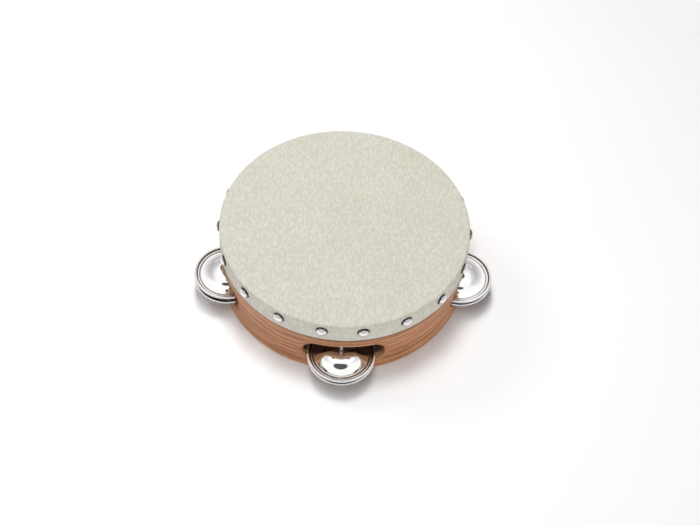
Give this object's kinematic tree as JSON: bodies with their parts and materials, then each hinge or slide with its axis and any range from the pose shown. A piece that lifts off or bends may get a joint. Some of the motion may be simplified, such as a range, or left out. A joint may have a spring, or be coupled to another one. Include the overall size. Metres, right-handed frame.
{
  "type": "tambourine",
  "caption": "Tambourine: a round bent-wood hoop with a tacked skin head over one side and pairs of domed metal jingles on pins in slots through the hoop.",
  "frame": {"origin": "on the drum's axis, in the plane of the hoop's bottom edge, on which it stands", "axes": "+Z along the drum's axis towards the head; -Y towards the front pair of jingles"},
  "size_m": [0.2445, 0.2339, 0.0618],
  "materials": {
    "bent_wood": "sanded and clear-lacquered hardwood, satin",
    "skin": "matte cream skin with a fine pebbled grain",
    "plated_tack": "bright nickel plate",
    "steel_pin": "drawn steel wire",
    "plated_jingle": "bright nickel plate, polished"
  },
  "bodies": {
    "drum": {"hoop": "bent_wood", "head_skin": "skin", "tack_01": "plated_tack", "tack_02": "plated_tack", "tack_03": "plated_tack", "tack_04": "plated_tack", "tack_05": "plated_tack", "tack_06": "plated_tack", "tack_07": "plated_tack", "tack_08": "plated_tack", "tack_09": "plated_tack", "tack_10": "plated_tack", "tack_11": "plated_tack", "tack_12": "plated_tack", "tack_13": "plated_tack", "tack_14": "plated_tack", "tack_15": "plated_tack", "tack_16": "plated_tack", "tack_17": "plated_tack", "tack_18": "plated_tack", "jingle_pin_1": "steel_pin", "jingle_pin_2": "steel_pin", "jingle_pin_3": "steel_pin", "jingle_pin_4": "steel_pin", "jingle_pin_5": "steel_pin"},
    "lower_jingle_1": {"lower_jingle_1": "plated_jingle"},
    "lower_jingle_2": {"lower_jingle_2": "plated_jingle"},
    "lower_jingle_3": {"lower_jingle_3": "plated_jingle"},
    "lower_jingle_4": {"lower_jingle_4": "plated_jingle"},
    "lower_jingle_5": {"lower_jingle_5": "plated_jingle"},
    "upper_jingle_1": {"upper_jingle_1": "plated_jingle"},
    "upper_jingle_2": {"upper_jingle_2": "plated_jingle"},
    "upper_jingle_3": {"upper_jingle_3": "plated_jingle"},
    "upper_jingle_4": {"upper_jingle_4": "plated_jingle"},
    "upper_jingle_5": {"upper_jingle_5": "plated_jingle"}
  },
  "joints": [
    {"name": "lower_jingle_1_lift", "type": "slide", "parent": "drum", "child": "lower_jingle_1", "axis": [0, 0, 1], "range_m": [0, 0.004]},
    {"name": "upper_jingle_1_lift", "type": "slide", "parent": "lower_jingle_1", "child": "upper_jingle_1", "axis": [0, 0, 1], "range_m": [-0.0009, 0.00455]},
    {"name": "lower_jingle_2_lift", "type": "slide", "parent": "drum", "child": "lower_jingle_2", "axis": [0, 0, 1], "range_m": [0, 0.004]},
    {"name": "upper_jingle_2_lift", "type": "slide", "parent": "lower_jingle_2", "child": "upper_jingle_2", "axis": [0, 0, 1], "range_m": [-0.0016, 0.00385]},
    {"name": "lower_jingle_3_lift", "type": "slide", "parent": "drum", "child": "lower_jingle_3", "axis": [0, 0, 1], "range_m": [0, 0.004]},
    {"name": "upper_jingle_3_lift", "type": "slide", "parent": "lower_jingle_3", "child": "upper_jingle_3", "axis": [0, 0, 1], "range_m": [-0.0013, 0.00415]},
    {"name": "lower_jingle_4_lift", "type": "slide", "parent": "drum", "child": "lower_jingle_4", "axis": [0, 0, 1], "range_m": [0, 0.004]},
    {"name": "upper_jingle_4_lift", "type": "slide", "parent": "lower_jingle_4", "child": "upper_jingle_4", "axis": [0, 0, 1], "range_m": [-0.0023, 0.00315]},
    {"name": "lower_jingle_5_lift", "type": "slide", "parent": "drum", "child": "lower_jingle_5", "axis": [0, 0, 1], "range_m": [0, 0.004]},
    {"name": "upper_jingle_5_lift", "type": "slide", "parent": "lower_jingle_5", "child": "upper_jingle_5", "axis": [0, 0, 1], "range_m": [-0.0035, 0.00195]}
  ]
}
